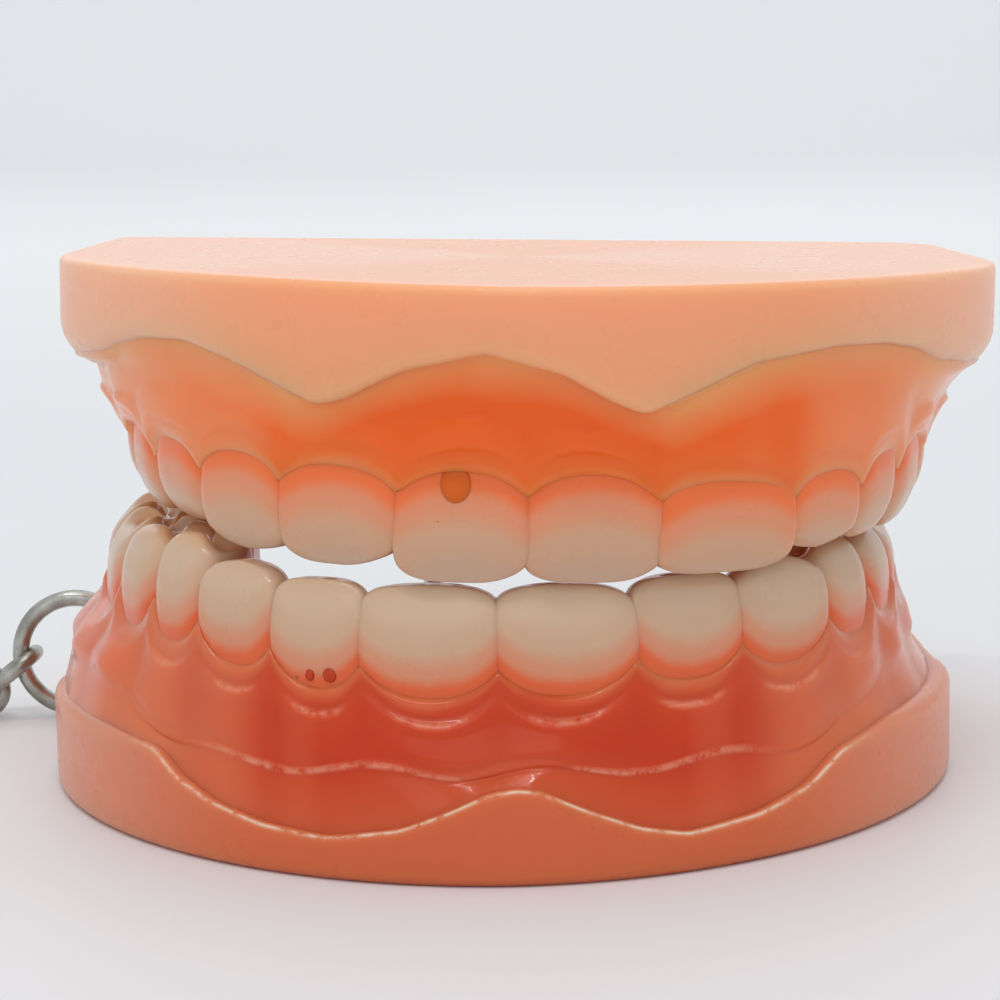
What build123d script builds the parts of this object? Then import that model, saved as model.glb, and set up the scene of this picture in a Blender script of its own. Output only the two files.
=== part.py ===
"""Miniature typodont on a key chain: two resin jaws with set teeth, joined by a wire hinge at the back.

Frame: millimetres, +Z up, -Y towards the front teeth, +X towards the model's own left side.
The origin is the middle of the flat underside of the lower base.
"""

import math
import os

from build123d import *

os.makedirs("parts", exist_ok=True)

# Driving dimensions
base_depth = 33.0
overall_height = 22.6
front_y = -base_depth / 2
back_y = base_depth / 2
corner_radius = 3.0

# Lower base: a plinth whose rim dips in two lobes, either side of a central frenum
lower_half_width = 19.9
lower_arc_depth = 20.7
lower_arc_power = 1.91
lower_rim_height = 4.1
tongue_floor_height = 2.9
lower_lobe_dip_height = 1.7
lower_lobe_spacing = 13.6
lobe_radius = 10.5
rim_band = 5.2

# Upper base: a plate with a hanging rim, arched at the front.
# It sits a little to one side, rolled, and further forward.
upper_half_width = 20.2
upper_arc_depth = 19.2
upper_arc_power = 1.6
upper_front_y = front_y - 0.4
upper_plate_thickness = 2.6
upper_lobe_drop = 4.8
upper_arch_top = 2.62
upper_arch_pitch = 13.5
upper_arch_middle = -1.7
upper_shift_x = 1.13
upper_roll = 1.38
upper_right_corner_radius = 1.2

# Bite and gums
bite_height = 11.15
lower_gum_crest = 7.1
lower_crest_slope = 0.08
upper_gum_crest = 15.2
upper_crest_slope = 0.015
gum_end_y = back_y - 4.7
palate_thickness = 1.9
palate_half_width = 12.0
palate_nose = 10.5

# The curve that the outer faces of the teeth follow
arch_half_width = 17.6
arch_arc_depth = 21.0
arch_power = 2.2
arch_end_y = back_y - 5.0
lower_arch_front = front_y + 2.2
upper_arch_front = front_y + 1.7
lower_midline = -0.15
upper_midline = -0.15

# Teeth, from the midline backwards
tooth_names = (
    "central_incisor",
    "lateral_incisor",
    "canine",
    "first_premolar",
    "second_premolar",
    "first_molar",
    "second_molar",
)
tooth_depths = (3.0, 2.9, 3.4, 3.9, 4.1, 4.9, 4.8)
upper_right_widths = (5.05, 5.0, 4.7, 4.7, 4.3, 5.0, 4.6)
upper_left_widths = (5.2, 5.8, 4.3, 3.9, 4.2, 5.0, 4.6)
lower_right_widths = (5.35, 3.9, 4.0, 3.7, 4.4, 5.3, 5.0)
lower_left_widths = (5.4, 4.6, 5.2, 4.4, 4.3, 5.0, 4.6)
# How far each biting edge stands above the nominal bite height
upper_right_lifts = (0.05, 0.47, 0.63, 1.3, 1.15, 1.05, 1.0)
upper_left_lifts = (0.07, 0.27, 0.8, 0.78, 0.7, 0.68, 0.66)
lower_right_lifts = (-0.06, 0.06, 0.5, 1.1, 0.9, 0.8, 0.75)
lower_left_lifts = (-0.08, 0.0, 0.16, 0.22, 0.08, 0.05, 0.02)
contact_gap = 0.08
root_length = 2.2
socket_clearance = 0.04

# Wire hinge behind the jaws
wire_diameter = 1.0
wire_bend = 1.5
anchor_depth = 4.0
anchor_clearance = 0.02
hinge_y = back_y + 3.4
hinge_z = 11.6
lower_leg_x = 3.4
lower_leg_z = 1.5
upper_eye_x = 1.15
upper_leg_z = 21.25
eye_clearance = 0.06

# Chain: a jump ring through the rear corner of the lower base, then two oval links
ring_wire = 0.8
ring_radius = 2.7
ring_x = -20.6
ring_y = 13.5
ring_z = 3.15
ring_hole_x = -17.5
ring_hole_diameter = 2.4
ring_groove_width = 2.6
ring_groove_height = 2.0
link_wire = 0.7
link_length = 4.0
link_width = 2.8
link_slack = 0.1
ring_link_angle = 190
link_1_end_height = 1.19
link_2_turn = 12


def arc_points(half_width, arc_depth, power, nose_y, step=10):
    """Points of a superellipse front arc, from its right-hand end round the nose to the other end."""
    points = []
    for turn in range(-90, 91, step):
        across = math.sin(math.radians(turn))
        along = math.cos(math.radians(turn))
        x = half_width * math.copysign(abs(across) ** (2 / power), across)
        y = nose_y + arc_depth * (1 - abs(along) ** (2 / power))
        points.append((x, y))
    return points


def plinth_face(half_width, arc_depth, power, nose_y, mode=Mode.ADD):
    """Sketch a plinth's outline: rounded nose, sides drawing in by half a millimetre, straight back."""
    points = arc_points(half_width, arc_depth, power, nose_y)
    with BuildLine(Plane.XY) as outline:
        Spline(*points)
        Polyline(points[-1], (half_width - 0.5, back_y), (-half_width + 0.5, back_y), points[0])
    make_face(outline.edges(), mode=mode)


def round_rear_corners(outline, right_radius, left_radius):
    """Round the two rear corners of a plinth's outline, which is still being drawn."""
    fillet(outline.vertices().group_by(Axis.Y)[-1].sort_by(Axis.X)[0], radius=right_radius)
    fillet(outline.vertices().group_by(Axis.Y)[-1].sort_by(Axis.X)[-1], radius=left_radius)


def ridge_face(half_width, arc_depth, power, nose_y, nose_thickness, side_thickness):
    """Sketch a horseshoe band, open at the back."""
    outer = arc_points(half_width, arc_depth, power, nose_y)
    inner = arc_points(
        half_width - side_thickness,
        arc_depth - nose_thickness,
        power,
        nose_y + nose_thickness,
    )
    outer_x = half_width - 0.3
    inner_x = half_width - side_thickness - 0.3
    with BuildLine(Plane.XY) as outline:
        Spline((-outer_x, gum_end_y), *outer, (outer_x, gum_end_y))
        Line((outer_x, gum_end_y), (inner_x, gum_end_y))
        Spline((-inner_x, gum_end_y), *inner, (inner_x, gum_end_y))
        Line((-outer_x, gum_end_y), (-inner_x, gum_end_y))
    make_face(outline.edges())


def arch_curve(nose_y):
    """The line that the faces of the teeth stand on, in the plane of the gum crest."""
    points = arc_points(arch_half_width, arch_arc_depth, arch_power, nose_y)
    start = (-arch_half_width + 0.3, arch_end_y)
    finish = (arch_half_width - 0.3, arch_end_y)
    with BuildLine(Plane.XY) as arch:
        Spline(start, *points, finish)
    return arch.edge()


def tooth_face(width, depth, set_back, power=2.6, taper=0.28):
    """Sketch a tooth's cross-section: its face on -Y, its sides closing in towards the tongue."""
    points = []
    for turn in range(0, 360, 24):
        across = math.cos(math.radians(turn))
        along = math.sin(math.radians(turn))
        y = 0.5 * math.copysign(abs(along) ** (2 / power), along)
        x = 0.5 * math.copysign(abs(across) ** (2 / power), across)
        narrowing = 1 - taper * (0.5 - y)
        points.append((width * x * narrowing, set_back + depth * (0.5 - y)))
    with BuildLine(Plane.XY) as outline:
        Spline(*points, periodic=True)
    make_face(outline.edges())


# Each crown is lofted through four levels: height share, width share, depth share, set-back of the face
incisor_levels = (
    (0.0, 0.8, 0.9, 0.12),
    (0.4, 0.97, 0.95, 0.0),
    (0.8, 1.0, 0.55, 0.15),
    (1.0, 0.9, 0.3, 0.4),
)
canine_levels = (
    (0.0, 0.8, 0.9, 0.1),
    (0.45, 1.0, 0.95, 0.0),
    (0.8, 0.92, 0.6, 0.2),
    (1.0, 0.55, 0.35, 0.5),
)
cheek_levels = (
    (0.0, 0.84, 0.88, 0.15),
    (0.45, 1.0, 1.0, 0.0),
    (0.82, 0.96, 0.9, 0.15),
    (1.0, 0.8, 0.68, 0.5),
)
crown_levels = (incisor_levels, incisor_levels, canine_levels) + (cheek_levels,) * 4

# Planes of the two jaws; every level of a jaw is an offset from its plane
lower_plane = Plane.XY
upper_plane = Plane(origin=(upper_shift_x, 0, bite_height)).rotated((0, upper_roll, 0))
lower_crest_plane = Plane(
    origin=(0, 0, lower_gum_crest - lower_crest_slope * front_y),
    x_dir=(1, 0, 0),
    z_dir=(0, -lower_crest_slope, 1),
)
upper_crest_height = upper_gum_crest - bite_height - upper_crest_slope * front_y
upper_crest_normal = upper_plane.z_dir + upper_plane.y_dir * -upper_crest_slope
upper_crest_plane = Plane(
    origin=upper_plane.from_local_coords((0, 0, upper_crest_height)),
    x_dir=upper_plane.x_dir,
    z_dir=upper_crest_normal,
)


def tooth_plane(crest_plane, nose_y, midline, distance):
    """Plane of a tooth's neck: origin on the arch, +X along the arch, +Y into the mouth."""
    curve = arch_curve(nose_y)
    length = curve.length / 2 + midline + distance
    spot = curve.position_at(length, position_mode=PositionMode.LENGTH)
    heading = curve.tangent_at(length, position_mode=PositionMode.LENGTH)
    origin = crest_plane.from_local_coords((spot.X, spot.Y, 0))
    along = crest_plane.from_local_coords((spot.X + heading.X, spot.Y + heading.Y, 0))
    return Plane(origin=origin, x_dir=along - origin, z_dir=crest_plane.z_dir)


def lay_out_teeth(jaw, crest_plane, nose_y, midline, right_widths, left_widths, right_lifts, left_lifts):
    """Name, plane, width, depth, crown height and level table of every tooth in one jaw."""
    teeth = []
    for side, widths, lifts in (("right", right_widths, right_lifts), ("left", left_widths, left_lifts)):
        sign = -1 if side == "right" else 1
        distance = 0
        for index, (width, lift) in enumerate(zip(widths, lifts)):
            plane = tooth_plane(crest_plane, nose_y, midline, sign * (distance + width / 2))
            distance += width
            if jaw == "upper":
                height = lift - upper_plane.to_local_coords(plane.origin).Z
            else:
                height = bite_height + lift - plane.origin.Z
            name = jaw + "_" + side + "_" + tooth_names[index]
            depth = tooth_depths[index]
            teeth.append((name, plane, width - contact_gap, depth, height, crown_levels[index]))
    return teeth


lower_teeth = lay_out_teeth(
    "lower",
    lower_crest_plane,
    lower_arch_front,
    lower_midline,
    lower_right_widths,
    lower_left_widths,
    lower_right_lifts,
    lower_left_lifts,
)
upper_teeth = lay_out_teeth(
    "upper",
    upper_crest_plane,
    upper_arch_front,
    upper_midline,
    upper_right_widths,
    upper_left_widths,
    upper_right_lifts,
    upper_left_lifts,
)


def root_plane(plane, depth):
    """Plane of a tooth's root, centred behind the tooth's face."""
    return Plane(
        origin=plane.from_local_coords((0, depth * 0.5, 0)),
        x_dir=plane.x_dir,
        z_dir=plane.z_dir,
    )


# Lower base
lower_size = (lower_half_width, lower_arc_depth, lower_arc_power, front_y)
lower_inner = (
    lower_half_width - rim_band,
    lower_arc_depth - rim_band,
    lower_arc_power,
    front_y + rim_band,
)

with BuildPart() as lower_lobes:
    with BuildSketch(lower_plane):
        plinth_face(*lower_size)
        plinth_face(*lower_inner, mode=Mode.SUBTRACT)
        with Locations((0, back_y)):
            Rectangle(60, base_depth, mode=Mode.SUBTRACT)
    extrude(amount=lower_rim_height)
    with BuildSketch(Plane.XZ):
        with Locations((0, lower_lobe_dip_height + lobe_radius)):
            with GridLocations(lower_lobe_spacing, 0, 2, 1):
                Circle(lobe_radius)
    extrude(amount=base_depth, both=True, mode=Mode.INTERSECT)

with BuildPart() as lower_base:
    with BuildSketch(lower_plane) as lower_outline:
        plinth_face(*lower_size)
        round_rear_corners(lower_outline, corner_radius, corner_radius)
    extrude(amount=lower_rim_height)
    # The tongue space is sunk below the rim and runs out at the back
    with BuildSketch(lower_plane.offset(tongue_floor_height)):
        plinth_face(*lower_inner)
        with Locations((0, back_y)):
            Rectangle(2 * (lower_half_width - rim_band - 0.5), 4, mode=Mode.ADD)
    extrude(amount=lower_rim_height, mode=Mode.SUBTRACT)
    add(lower_lobes.part, mode=Mode.SUBTRACT)
    # Hole for the jump ring, and the groove that lets the ring pass under the corner
    with Locations((ring_hole_x, ring_y, 0)):
        Cylinder(
            ring_hole_diameter / 2,
            20,
            mode=Mode.SUBTRACT,
        )
    with Locations((ring_hole_x - 5, ring_y, ring_groove_height / 2)):
        Box(12, ring_groove_width, ring_groove_height, mode=Mode.SUBTRACT)
    # Sockets for the legs of the hinge wire
    with BuildSketch(Plane.XZ.offset(-back_y)):
        with Locations((0, lower_leg_z)):
            with GridLocations(2 * lower_leg_x, 0, 2, 1):
                Circle(wire_diameter / 2 + anchor_clearance)
    extrude(amount=anchor_depth + 0.1, mode=Mode.SUBTRACT)

# Upper base
upper_size = (upper_half_width, upper_arc_depth, upper_arc_power, upper_front_y)
upper_inner = (
    upper_half_width - rim_band,
    upper_arc_depth - rim_band,
    upper_arc_power,
    upper_front_y + rim_band,
)
upper_top = overall_height - bite_height

with BuildPart() as upper_rim:
    with BuildSketch(upper_plane.offset(upper_top)):
        plinth_face(*upper_size)
        plinth_face(*upper_inner, mode=Mode.SUBTRACT)
    extrude(amount=-upper_lobe_drop)
    # Three arches are cut up into the front of the rim, leaving a pointed frenum between each pair
    arch_plane_origin = upper_plane.from_local_coords((0, back_y, 0))
    with BuildSketch(Plane(arch_plane_origin, x_dir=upper_plane.x_dir, z_dir=-upper_plane.y_dir)):
        with Locations((upper_arch_middle, upper_top - upper_arch_top - lobe_radius)):
            with GridLocations(upper_arch_pitch, 0, 3, 1):
                Circle(lobe_radius)
        with Locations((0, upper_top - upper_lobe_drop - 15)):
            Rectangle(60, 30, mode=Mode.SUBTRACT)
    extrude(amount=2 * base_depth, mode=Mode.SUBTRACT)

with BuildPart() as upper_base:
    with BuildSketch(upper_plane.offset(upper_top)) as upper_outline:
        plinth_face(*upper_size)
        round_rear_corners(upper_outline, upper_right_corner_radius, corner_radius)
    extrude(amount=-upper_lobe_drop)
    with BuildSketch(upper_plane.offset(upper_top - upper_plate_thickness)):
        Rectangle(80, 80)
    extrude(amount=-upper_lobe_drop, mode=Mode.SUBTRACT)
    add(upper_rim.part)
    # Round the rear corners of the hanging rim like the plate's
    with BuildSketch(upper_plane.offset(upper_top)) as upper_trim:
        plinth_face(*upper_size)
        round_rear_corners(upper_trim, upper_right_corner_radius, corner_radius)
    extrude(amount=-upper_lobe_drop - 1, mode=Mode.INTERSECT)
    # Sockets for the legs of the two hinge eyes
    with BuildSketch(Plane.XZ.offset(-back_y - 1)):
        with Locations((0, upper_leg_z)):
            with GridLocations(2 * upper_eye_x, 0, 2, 1):
                Circle(wire_diameter / 2 + anchor_clearance)
    extrude(amount=anchor_depth + 1.1, mode=Mode.SUBTRACT)


def cut_sockets(teeth):
    """Cut a socket for every root into the gum being built."""
    for name, plane, width, depth, height, levels in teeth:
        with BuildSketch(root_plane(plane, depth)) as socket:
            Ellipse(width * 0.3 + socket_clearance, depth * 0.3 + socket_clearance)
        extrude(socket.sketch, amount=math.copysign(root_length + 0.1, -height), mode=Mode.SUBTRACT)


# Gums
with BuildPart() as lower_gum:
    with BuildSketch(lower_plane.offset(1.2)):
        ridge_face(
            lower_half_width - 0.75,
            lower_arc_depth - 0.6,
            lower_arc_power,
            front_y + 0.6,
            nose_thickness=6.0,
            side_thickness=7.6,
        )
    with BuildSketch(lower_plane.offset(lower_rim_height)):
        ridge_face(lower_half_width - 0.6, lower_arc_depth - 0.6, 2.0, front_y + 0.6, 6.2, 7.8)
    with BuildSketch(lower_crest_plane):
        ridge_face(arch_half_width + 0.3, arch_arc_depth, arch_power, lower_arch_front - 0.35, 4.2, 6.0)
    loft()
    add(lower_base.part, mode=Mode.SUBTRACT)
    cut_sockets(lower_teeth)

with BuildPart() as upper_gum:
    with BuildSketch(upper_crest_plane):
        ridge_face(arch_half_width + 0.3, arch_arc_depth, arch_power, upper_arch_front - 0.35, 4.4, 6.2)
    with BuildSketch(upper_plane.offset(upper_top - upper_lobe_drop)):
        ridge_face(
            upper_half_width - 1.2,
            upper_arc_depth,
            upper_arc_power + 0.1,
            upper_front_y + 1.2,
            nose_thickness=6.4,
            side_thickness=7.8,
        )
    with BuildSketch(upper_plane.offset(upper_top - upper_plate_thickness)):
        ridge_face(
            upper_half_width - 0.8,
            upper_arc_depth,
            upper_arc_power,
            upper_front_y + 0.8,
            nose_thickness=7.2,
            side_thickness=8.6,
        )
    loft()
    # The palate closes the roof of the mouth between the ridges, hollowed into a shallow vault
    with BuildSketch(upper_plane.offset(upper_top - upper_plate_thickness)):
        Ellipse(palate_half_width, palate_nose)
        with Locations((0, gum_end_y / 2)):
            Rectangle(2 * palate_half_width, gum_end_y)
    extrude(amount=-palate_thickness)
    vault_height = upper_top - upper_plate_thickness - palate_thickness
    vault_origin = upper_plane.from_local_coords((0, back_y, vault_height))
    with BuildSketch(Plane(vault_origin, x_dir=upper_plane.x_dir, z_dir=-upper_plane.y_dir)):
        Ellipse(palate_half_width - 2.6, palate_thickness - 0.4)
    extrude(amount=back_y + palate_nose - 5, mode=Mode.SUBTRACT)
    add(upper_base.part, mode=Mode.SUBTRACT)
    cut_sockets(upper_teeth)

# Hinge wire of the lower jaw: a goalpost whose crossbar is the hinge pin
with BuildPart() as lower_hinge_wire:
    with BuildLine() as goalpost:
        FilletPolyline(
            (-lower_leg_x, back_y - anchor_depth, lower_leg_z),
            (-lower_leg_x, hinge_y, lower_leg_z),
            (-lower_leg_x, hinge_y, hinge_z),
            (lower_leg_x, hinge_y, hinge_z),
            (lower_leg_x, hinge_y, lower_leg_z),
            (lower_leg_x, back_y - anchor_depth, lower_leg_z),
            radius=wire_bend,
        )
    with BuildSketch(Plane(goalpost.line @ 0, z_dir=goalpost.line % 0)):
        Circle(wire_diameter / 2)
    sweep()

# Hinge eyes of the upper jaw, one each side of the middle
eye_radius = wire_diameter + eye_clearance
hinge_eyes = []
for eye_x in (-upper_eye_x, upper_eye_x):
    with BuildPart() as hinge_eye:
        with BuildLine() as stem:
            FilletPolyline(
                (eye_x, hinge_y - eye_radius, hinge_z),
                (eye_x, hinge_y - eye_radius, upper_leg_z),
                (eye_x, back_y - anchor_depth, upper_leg_z),
                radius=wire_bend,
            )
        with BuildSketch(Plane(stem.line @ 0, z_dir=stem.line % 0)):
            Circle(wire_diameter / 2)
        sweep()
        with Locations(Plane((eye_x, hinge_y, hinge_z), x_dir=(0, 1, 0), z_dir=(1, 0, 0))):
            Torus(eye_radius, wire_diameter / 2)
    hinge_eyes.append(hinge_eye)

# Jump ring, standing in the hole at the rear corner
with BuildPart(Plane((ring_x, ring_y, ring_z), x_dir=(1, 0, 0), z_dir=(0, -1, 0))) as jump_ring:
    Torus(ring_radius, ring_wire / 2)


def link_line(plane):
    """Draw the centre line of an oval link lying in a plane, its long way along the plane's X."""
    straight = (link_length - link_width) / 2
    radius = (link_width - link_wire) / 2
    corners = [(-straight, radius), (straight, radius), (straight, -radius), (-straight, -radius)]
    near, far, low, back = [plane.from_local_coords(corner + (0,)) for corner in corners]
    start = plane.from_local_coords((-straight - radius, 0, 0))
    finish = plane.from_local_coords((straight + radius, 0, 0))
    Line(near, far)
    ThreePointArc(far, finish, low)
    Line(low, back)
    ThreePointArc(back, start, near)


# The first link hangs from the ring; the second stands on its edge on the table and takes its lower end
ring_turn = math.radians(ring_link_angle)
ring_spot = Vector(
    ring_x + ring_radius * math.cos(ring_turn),
    ring_y,
    ring_z + ring_radius * math.sin(ring_turn),
)
end_to_end = link_length - link_wire
hook = ring_wire / 2 + link_wire / 2 + link_slack
drop = (ring_spot.Z - link_1_end_height) / (end_to_end - hook)
run = -math.sqrt(1 - drop**2)
link_1_along = Vector(run, 0, -drop)
link_1_plane = Plane(
    ring_spot + link_1_along * (end_to_end / 2 - hook),
    x_dir=link_1_along,
    z_dir=(drop, 0, run),
)
link_1_end = ring_spot + link_1_along * (end_to_end - hook)

link_2_along = Vector(-math.cos(math.radians(link_2_turn)), math.sin(math.radians(link_2_turn)), 0)
link_2_side = link_2_along.cross(Vector(0, 0, 1))
link_2_arc = Vector(link_1_end.X, link_1_end.Y, link_width / 2 + 0.03)
link_2_plane = Plane(
    link_2_arc + link_2_along * ((link_length - link_width) / 2),
    x_dir=link_2_along,
    z_dir=link_2_side,
)

chain_links = []
for plane in (link_1_plane, link_2_plane):
    with BuildPart() as chain_link:
        with BuildLine() as centre_line:
            link_line(plane)
        with BuildSketch(Plane(centre_line.line @ 0, z_dir=centre_line.line % 0)):
            Circle(link_wire / 2)
        sweep()
    chain_links.append(chain_link)


def build_tooth(plane, width, depth, height, levels):
    """One tooth: a lofted crown standing on a plain oval root."""
    with BuildPart() as tooth:
        for height_share, width_share, depth_share, set_back in levels:
            with BuildSketch(plane.offset(height * height_share)):
                tooth_face(width * width_share, depth * depth_share, set_back)
        loft()
        with BuildSketch(root_plane(plane, depth)):
            Ellipse(width * 0.3, depth * 0.3)
        extrude(amount=math.copysign(root_length, -height))
    return tooth


# Name and write every piece
pieces = [
    ("lower_base", lower_base),
    ("lower_gum", lower_gum),
    ("upper_base", upper_base),
    ("upper_gum", upper_gum),
    ("lower_hinge_wire", lower_hinge_wire),
    ("upper_hinge_eye_right", hinge_eyes[0]),
    ("upper_hinge_eye_left", hinge_eyes[1]),
    ("jump_ring", jump_ring),
    ("chain_link_1", chain_links[0]),
    ("chain_link_2", chain_links[1]),
]
for name, plane, width, depth, height, levels in lower_teeth + upper_teeth:
    pieces.append((name, build_tooth(plane, width, depth, height, levels)))

for name, piece in pieces:
    piece.part.label = name
    export_step(piece.part, "parts/" + name + ".step")
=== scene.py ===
"""Looks of the miniature typodont: resin jaws, set teeth, wire hinge and chain.

Lengths in the tables and helper functions are millimetres, up to place(), which gives metres. The stage, the
lights, the camera and the materials' own sizes are in metres.
"""

import math
from collections import namedtuple
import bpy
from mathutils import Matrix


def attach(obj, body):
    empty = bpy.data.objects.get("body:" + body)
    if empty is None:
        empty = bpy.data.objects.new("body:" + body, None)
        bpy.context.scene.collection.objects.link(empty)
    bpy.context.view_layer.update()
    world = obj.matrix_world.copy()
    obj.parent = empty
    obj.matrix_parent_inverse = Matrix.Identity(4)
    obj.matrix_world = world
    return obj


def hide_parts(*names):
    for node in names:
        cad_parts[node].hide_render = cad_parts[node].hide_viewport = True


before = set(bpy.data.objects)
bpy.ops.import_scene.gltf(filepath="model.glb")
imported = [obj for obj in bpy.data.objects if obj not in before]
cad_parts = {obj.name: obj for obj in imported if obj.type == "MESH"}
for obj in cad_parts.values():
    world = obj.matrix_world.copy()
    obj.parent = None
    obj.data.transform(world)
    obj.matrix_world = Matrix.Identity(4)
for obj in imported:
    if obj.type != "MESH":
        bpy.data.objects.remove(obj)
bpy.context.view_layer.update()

from types import SimpleNamespace

import bpy
import numpy as np
from mathutils import Matrix, Vector

MM = 0.001

# ---------------------------------------------------------------- sizes shared by both jaws
ORDER = (
    "central_incisor",
    "lateral_incisor",
    "canine",
    "first_premolar",
    "second_premolar",
    "first_molar",
    "second_molar",
)
BACK_Y = 16.5  # the flat back of both bases
GUM_END = 11.9  # the rear ends of both gums
ARCH_HALF = 17.6  # half width, depth and squareness of the curve of the teeth
ARCH_DEPTH = 21.0
ARCH_POWER = 2.2
BITE = 11.15  # height of the plane where the jaws meet
TOP = 22.6 - BITE  # from there to the top of the upper base
ROLL = math.radians(1.38)  # the upper jaw leans a little, and sits a little to the left
SHIFT_X = 1.13
PROBE_STEPS = 4000  # fine steps for measuring a curve
LEDGE_BLUR = 0.35


class Jaw:
    """Sizes of one jaw. Heights run from the flat outer face of its base towards the bite.

    half, depth, power and front give the base's outline, and ledge_x and ledge_h the line where base and gum
    meet. Pairs are for the right and the left.
    The widths, edges (biting edges) and gums (gum lines) run from the middle tooth backwards.
    The fold and face tables shape the front of the gum, and right_ and left_ z and q its sides: t is the
    share of the height, z a height, and q runs from 0 on the base's outline to 1 on the arch.
    """

    def __init__(self, **sizes):
        self.__dict__.update(sizes)


LOWER = Jaw(
    name="lower",
    half=19.9,
    depth=20.7,
    power=1.91,
    front=-16.5,
    corner_radii=(3.0, 3.0),
    edge_radius=0.45,
    bead=0.3,
    bead_growth=0.35,
    # strength of the painted highlight line along the bead
    highlight_strength=1.0,
    arch_front=-14.3,
    midline=-0.15,
    right_widths=(5.35, 3.9, 4.0, 3.7, 4.4, 5.3, 5.0),
    left_widths=(5.4, 4.6, 5.2, 4.4, 4.3, 5.0, 4.6),
    right_edges=(11.1, 11.22, 11.65, 12.28, 12.05, 11.95, 11.9),
    left_edges=(11.07, 11.15, 11.32, 11.4, 11.25, 11.2, 11.17),
    right_gums=(7.0, 7.25, 7.85, 8.35, 8.5, 8.6, 8.7),
    left_gums=(7.05, 7.4, 7.35, 7.95, 8.25, 8.4, 8.5),
    papilla=1.15,
    depths=(3.0, 2.9, 3.4, 4.3, 4.7, 5.9, 5.8),
    floor=2.9,
    rim=4.1,
    crease=4.15,
    fold_t=(0.0, 0.12, 0.3, 0.55, 0.8, 0.92, 1.0),
    fold_q=(0.24, 0.29, 0.34, 0.43, 0.53, 0.6, 0.63),
    fold_z=(0.0, 0.01, 0.12, 0.42, 0.74, 0.9, 1.0),
    face_t=(0.0, 0.15, 0.5, 0.84, 0.93, 1.0),
    face_q=(0.63, 0.66, 0.8, 0.9, 0.95, 1.08),
    right_z=(3.3, 5.0, 6.7, 7.6, 8.3),
    right_q=(0.07, 0.28, 0.43, 0.8, 0.93),
    left_z=(3.0, 4.2, 5.1, 7.2, 8.0),
    left_q=(0.07, 0.4, 0.65, 0.9, 0.94),
    crease_ridge=1.0,
    root_swell=0.11,
    roll_cut=0.06,
    sunk=0.24,
    drops=((-6.75, 7.6, 0.3, 0.3), (-7.6, 7.55, 0.2, 0.24)),
    ledge_x=(
        -16.5, -14.0, -13.1, -11.6, -9.5, -6.9, -4.0, -2.1, -0.6,
        0.6, 1.6, 2.9, 5.2, 7.1, 10.0, 12.1, 13.5, 16.0,
    ),
    ledge_h=(
        4.35, 4.15, 3.25, 2.5, 1.95, 1.72, 2.2, 2.95, 3.65,
        3.83, 3.62, 3.0, 2.05, 1.62, 1.95, 2.65, 3.72, 4.3,
    ),
)
UPPER = Jaw(
    name="upper",
    half=20.2,
    depth=19.2,
    power=1.6,
    front=-16.9,
    corner_radii=(1.2, 3.0),
    edge_radius=0.35,
    bead=0.42,
    bead_growth=1.5,
    highlight_strength=0.0,
    arch_front=-14.8,
    midline=-0.15,
    right_widths=(5.05, 5.0, 4.7, 4.7, 4.3, 5.0, 4.6),
    left_widths=(5.2, 5.8, 4.3, 3.9, 4.2, 5.0, 4.6),
    right_edges=(11.4, 10.98, 10.82, 10.15, 10.3, 10.4, 10.45),
    left_edges=(11.38, 11.18, 10.65, 10.67, 10.75, 10.77, 10.79),
    right_gums=(7.25, 7.2, 7.0, 7.1, 7.0, 6.95, 6.9),
    left_gums=(7.3, 7.75, 7.7, 7.4, 7.3, 7.2, 7.1),
    papilla=0.95,
    depths=(3.0, 2.9, 3.4, 4.3, 4.7, 5.9, 5.8),
    floor=2.6,
    rim=4.8,
    crease=4.9,
    fold_t=(0.0, 0.15, 0.4, 0.7, 1.0),
    fold_q=(0.3, 0.46, 0.56, 0.62, 0.66),
    fold_z=(0.0, 0.02, 0.2, 0.6, 1.0),
    face_t=(0.0, 0.3, 0.7, 0.86, 0.94, 1.0),
    face_q=(0.66, 0.72, 0.82, 0.88, 0.93, 1.08),
    right_z=(3.3, 4.0, 5.3, 6.6, 7.2),
    right_q=(0.2, 0.5, 0.62, 0.8, 0.92),
    left_z=(4.0, 4.9, 5.6, 6.6, 7.2),
    left_q=(0.2, 0.56, 0.74, 0.84, 0.92),
    crease_ridge=0.0,
    root_swell=0.12,
    roll_cut=0.04,
    sunk=0.2,
    drops=((-2.85, 7.58, 0.6, 0.76),),
    ledge_x=(
        -19.4, -17.8, -16.8, -15.6, -13.8, -11.6, -9.3, -8.35, -7.4, -5.0, -1.9,
        1.1, 3.2, 4.3, 5.5, 8.6, 12.0, 14.2, 15.6, 17.0, 18.4,
    ),
    ledge_h=(
        4.65, 4.3, 3.5, 2.8, 2.7, 3.35, 4.35, 4.72, 4.5, 3.25, 2.5,
        3.2, 4.35, 4.78, 4.35, 3.05, 2.62, 2.66, 3.0, 4.1, 4.65,
    ),
)


# ---------------------------------------------------------------- small maths helpers
def smooth(low, high, value):
    """Smoothstep from 0 at low to 1 at high."""
    t = np.clip((value - low) / (high - low), 0.0, 1.0)
    return t * t * (3 - 2 * t)


def bump(value, centre, width):
    """1 at the centre, fading to nothing over about twice the width."""
    return np.exp(-(((value - centre) / width) ** 2))


def soft_interp(value, xs, ys, blur=0.5):
    """Linear interpolation through points, blurred a little so that it has no corners."""
    offsets = np.linspace(-blur, blur, 9)
    weights = 1 - (offsets / (blur * 1.2)) ** 2
    total = sum(w * np.interp(value + o, xs, ys) for o, w in zip(offsets, weights))
    return total / weights.sum()


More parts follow.
